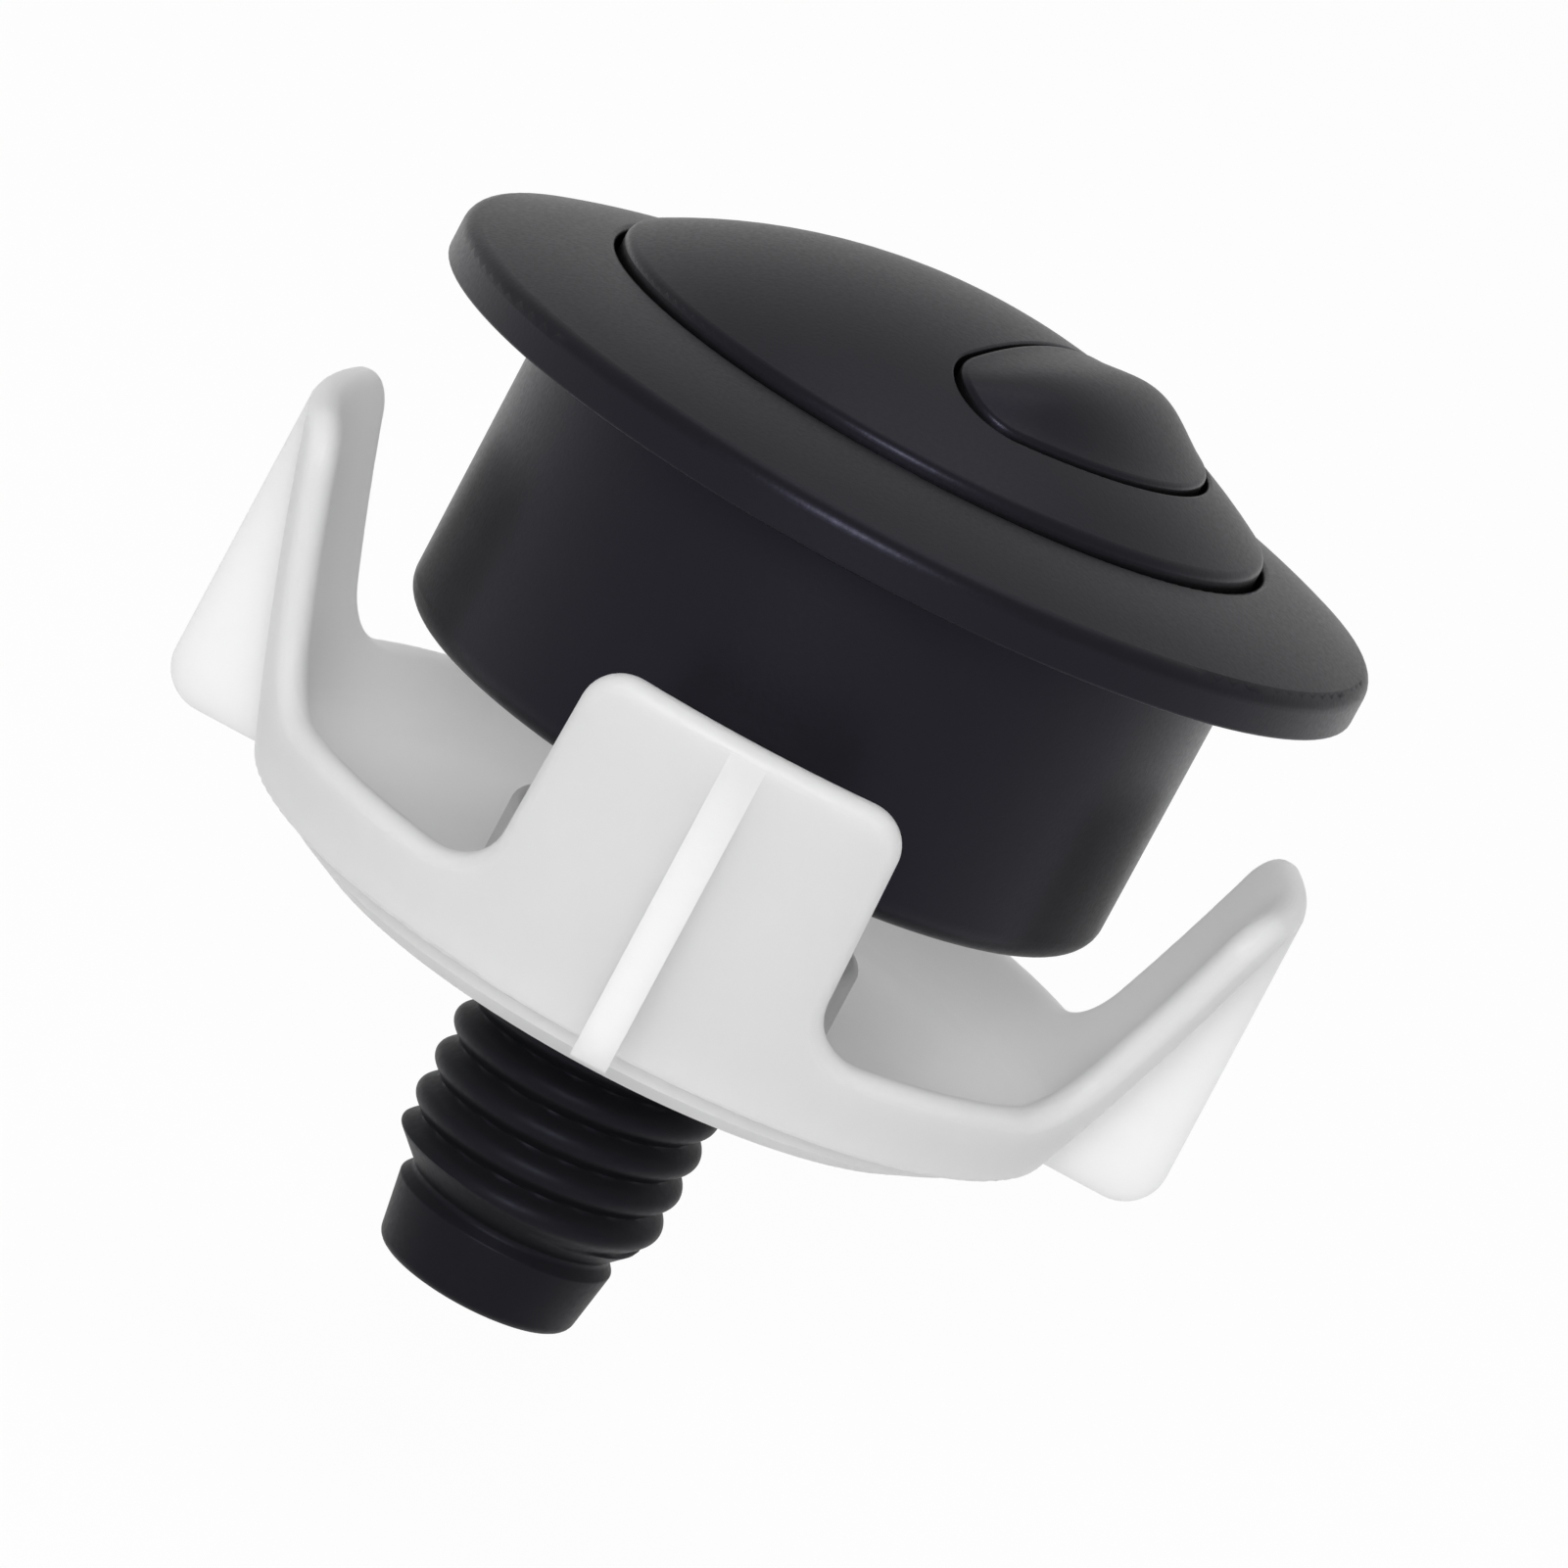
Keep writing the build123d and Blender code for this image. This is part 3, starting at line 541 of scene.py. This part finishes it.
across = add(coiling, "ShaderNodeMath", {
    0: across, 1: size["CoilRadius"], 2: size["X"]}, operation="MULTIPLY_ADD")
along = add(coiling, "ShaderNodeMath", {0: angle}, operation="SINE")
along = add(coiling, "ShaderNodeMath", {
    0: along, 1: size["CoilRadius"], 2: size["Y"]}, operation="MULTIPLY_ADD")
half_wire = add(coiling, "ShaderNodeMath", {0: size["Wire"], 1: 0.5}, operation="MULTIPLY")
first_height = add(coiling, "ShaderNodeMath", {0: size["Low"], 1: half_wire}, operation="ADD")
last_height = add(coiling, "ShaderNodeMath", {0: size["High"], 1: half_wire}, operation="SUBTRACT")
closing = add(coiling, "ShaderNodeMath", {
    0: size["Wire"], 1: size["ClosedTurns"]}, operation="MULTIPLY")
open_low = add(coiling, "ShaderNodeMath", {0: first_height, 1: closing}, operation="ADD")
open_high = add(coiling, "ShaderNodeMath", {0: last_height, 1: closing}, operation="SUBTRACT")
last_open = add(coiling, "ShaderNodeMath", {
    0: size["Turns"], 1: size["ClosedTurns"]}, operation="SUBTRACT")
open_rise = add(coiling, "ShaderNodeMath", {0: open_high, 1: open_low}, operation="SUBTRACT")
lower = add(coiling, "ShaderNodeMapRange", {
    "Value": turn, "From Max": size["ClosedTurns"], "To Min": first_height, "To Max": open_low})
middle = add(coiling, "ShaderNodeMapRange", {
    "Value": turn, "From Min": size["ClosedTurns"], "From Max": last_open, "To Max": open_rise})
upper = add(coiling, "ShaderNodeMapRange", {
    "Value": turn, "From Min": last_open, "From Max": size["Turns"], "To Max": closing})
height = add(coiling, "ShaderNodeMath", {0: lower, 1: middle}, operation="ADD")
height = add(coiling, "ShaderNodeMath", {0: height, 1: upper}, operation="ADD")
path = add(coiling, "GeometryNodeSetPosition", {
    "Geometry": add(coiling, "GeometryNodeMeshLine", {"Count": count}),
    "Position": add(coiling, "ShaderNodeCombineXYZ", {"X": across, "Y": along, "Z": height})})
section = add(coiling, "GeometryNodeCurvePrimitiveCircle", {
    "Resolution": size["Sides"], "Radius": half_wire})
coil = add(coiling, "GeometryNodeCurveToMesh", {
    "Curve": add(coiling, "GeometryNodeMeshToCurve", {"Mesh": path}),
    "Profile Curve": section, "Fill Caps": True})
add(coiling, "NodeGroupOutput", {"Shape": coil})


def spring(name, node, body, radius, wire, turns, low, high, x, y):
    """A coiled spring in place of a CAD node."""
    piece = made(
        name, bpy.data.meshes.new(name), body, "spring_steel", node,
        (coiling, {
            "CoilRadius": radius * MM, "Wire": wire * MM, "Turns": turns,
            "ClosedTurns": closed_turns, "Low": low * MM, "High": high * MM,
            "X": x * MM, "Y": y * MM, "Steps": steps_per_turn, "Sides": wire_sides}),
        (finishing, {"CrispAngle": crisp_angle, "Material": spring_wire}))
    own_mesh(piece)


spring("full_flush_spring", "full_return_spring", "housing",
       full_spring_radius, full_spring_wire, full_spring_turns, foot_top, full_spring_top,
       x=0.0, y=0.0)

# Full-flush carrier, plunger and screw: the plate that the dome clips on, and its pusher.
# Natural acetal, which slides on itself without grease. The screw holds the pusher under the
# plate. Both buttons are turned a little about the axis.
plate_top = -4.0
plate_bottom = -6.0
plunger_offset = 3.45
buttons_turn = radians(-22.5)  # azimuth of the half-flush side
plunger_bite = 7.0             # how deep a screw goes below its plate
pan_head_radius = 2.1
pan_head_height = 1.4
pan_head_side = 0.9
pan_head_flat = 1.0
pan_head_rounding = 0.6
plunger_screw_root = 0.75
plunger_screw_crest = 1.0
plunger_screw_pitch = 0.8
for node in ("full_flush_carrier", "full_plunger"):
    keep(node, natural_acetal)
plate_screw_top = plate_top + pan_head_height
plate_screw_head = pan_head(
    plate_top, pan_head_radius, pan_head_side, pan_head_flat, plate_screw_top, pan_head_rounding)
cross_screws("full_flush_screw", "full_plunger_screw", "full_flush", plate_bottom - plunger_bite,
             plate_top, plate_screw_head, plate_screw_top, plunger_screw_root,
             plunger_screw_crest, plunger_screw_pitch,
             count=1, circle=plunger_offset, first=pi + buttons_turn)

# Full-flush button: the dome that fills the flange, with a deep skirt that slides in the barrel.
# Moulded ABS in the housing's satin black lacquer, clipped on the carrier.
keep("full_flush_button", satin_lacquer)

# Half-flush spring, carrier, plunger and screw: the same parts again, for the cap in the dome.
# The carrier's arm reaches in towards the axis to its own plunger, and a countersunk screw holds
# the two together.
half_spring_radius = 3.3
half_spring_wire = 0.8
half_spring_turns = 5.0
half_spring_out = 14.5
half_spring_low = -9.5
half_plate_top = 5.0
half_plate_bottom = 3.0
countersink = 1.2              # depth of the screw head's cone in the plate
countersunk_rounding = 0.05
spring("half_flush_spring", "half_return_spring", "full_flush",
       half_spring_radius, half_spring_wire, half_spring_turns, half_spring_low,
       half_plate_bottom, x=half_spring_out * cos(buttons_turn),
       y=half_spring_out * sin(buttons_turn))
for node in ("half_flush_carrier", "half_plunger"):
    keep(node, natural_acetal)
countersunk_head = [(pan_head_radius, half_plate_top, countersunk_rounding)]
cross_screws("half_flush_screw", "half_plunger_screw", "half_flush",
             half_plate_bottom - plunger_bite, half_plate_top - countersink, countersunk_head,
             half_plate_top, plunger_screw_root, plunger_screw_crest, plunger_screw_pitch,
             count=1, circle=plunger_offset, first=buttons_turn)

# Half-flush button: the small bulging cap that is let into the dome and goes down with it.
# Moulded ABS in the same satin black lacquer, on its own carrier.
keep("half_flush_button", satin_lacquer)

# Clamping nut: a shallow bowl with four wings, run up the thread by hand until the lid is held.
# White polypropylene, moulded, with soft edges and walls that light goes into.
nut_colour = "#f1f1f1"
nut_shade = "#ededed"
nut_roughness = 0.45
nut_specular = 0.4
nut_grain = 0.4 * MM
nut_grain_depth = 0.008 * MM
nut_swirl = 12.0 * MM
nut_glow = 1.0
nut_reach = 11.0 * MM          # farther than its walls are thick, so that the inside glows
nut_warmth = (1.0, 1.0, 1.0)   # no colour goes farther than another

# Moulded white polypropylene: to the eye a soft, even white whose shaded inside glows.
white_polypropylene = grained_plastic(
    "moulded_white_polypropylene", nut_colour, nut_shade, nut_roughness, nut_specular,
    nut_grain, nut_grain_depth, nut_swirl, **{
        "Subsurface Weight": nut_glow, "Subsurface Radius": nut_warmth,
        "Subsurface Scale": nut_reach})
keep("wing_nut", white_polypropylene)

# The photograph's camera. It looks 13 degrees down at the button, from 0.8 m, through a long lens.
# The picture was then turned, so that the button leans to the right, and the camera rolls with it.
picture_width = 1601
focal_pixels = 11022
pitch = radians(13.0)
lean = radians(28.2)
target = Vector((2.9 * MM, 0.0, -24.34 * MM))
distance = 0.8
film_width = 36.0
nearest_seen = 0.01
farthest_seen = 100.0

camera_data = bpy.data.cameras.new("photo_camera")
camera_data.sensor_width = film_width
camera_data.lens = focal_pixels / picture_width * film_width
camera_data.clip_start = nearest_seen
camera_data.clip_end = farthest_seen
camera = bpy.data.objects.new("photo_camera", camera_data)
bpy.context.scene.collection.objects.link(camera)
camera_place = target + distance * Vector((0.0, -cos(pitch), sin(pitch)))
aim = Matrix.Rotation(pi / 2 - pitch, 4, "X") @ Matrix.Rotation(lean, 4, "Z")
camera.matrix_world = Matrix.Translation(camera_place) @ aim
bpy.context.scene.camera = camera

# The studio: a plain pale floor, even white light all round, and soft lamps in front and above.
# The floor lies clear of the nut when it is screwed right down.
floor_height = -82.0 * MM
floor_size = 40.0
paper_colour = "#ededed"
paper_glow = 0.95              # share of the paper that shines white; the rest keeps the shadow
white = "#ffffff"
ambient = 0.62                 # strength of the light all round

reach = floor_size / 2
floor_corners = [(x, y, floor_height) for x, y in (
    (-reach, -reach), (reach, -reach), (reach, reach), (-reach, reach))]
floor_mesh = bpy.data.meshes.new("floor")
floor_mesh.from_pydata(floor_corners, [], [(0, 1, 2, 3)])
floor = bpy.data.objects.new("floor", floor_mesh)
bpy.context.scene.collection.objects.link(floor)

# White paper: to the eye a plain white ground that still takes the button's shadow.
paper = bpy.data.materials.new("white_paper")
paper.use_nodes = True
tree = paper.node_tree
tree.nodes.clear()
rays = add(tree, "ShaderNodeLightPath").outputs
seen = add(tree, "ShaderNodeMath", {
    0: rays["Is Camera Ray"], 1: rays["Is Glossy Ray"]}, operation="MAXIMUM")
seen = add(tree, "ShaderNodeMath", {0: seen, 1: rays["Is Transmission Ray"]}, operation="MAXIMUM")
share = add(tree, "ShaderNodeMath", {0: seen, 1: paper_glow}, operation="MULTIPLY")
matte = add(tree, "ShaderNodeBsdfDiffuse", {"Color": linear(paper_colour)})
glow = add(tree, "ShaderNodeEmission", {"Color": linear(white), "Strength": 1.0})
ground = add(tree, "ShaderNodeMixShader", {0: share, 1: matte, 2: glow})
add(tree, "ShaderNodeOutputMaterial", {"Surface": ground})
floor_mesh.materials.append(paper)

world = bpy.data.worlds.new("studio")
world.use_nodes = True
tree = world.node_tree
tree.nodes.clear()
sky = add(tree, "ShaderNodeBackground", {"Color": linear(white), "Strength": ambient})
add(tree, "ShaderNodeOutputWorld", {"Surface": sky})
bpy.context.scene.world = world


def softbox(name, place, width, height, power):
    """A soft light that faces the button."""
    data = bpy.data.lights.new(name, "AREA")
    data.shape = "RECTANGLE"
    data.size = width
    data.size_y = height
    data.energy = power
    light = bpy.data.objects.new(name, data)
    bpy.context.scene.collection.objects.link(light)
    light.location = place
    light.rotation_euler = (target - Vector(place)).to_track_quat("-Z", "Y").to_euler()


softbox("front_softbox", (-0.1, -1.3, 0.45), width=0.4, height=0.45, power=9.5)
softbox("overhead_softbox", (0.0, 0.2, 1.25), width=0.8, height=0.8, power=1.5)

bpy.context.scene.view_settings.view_transform = "Standard"
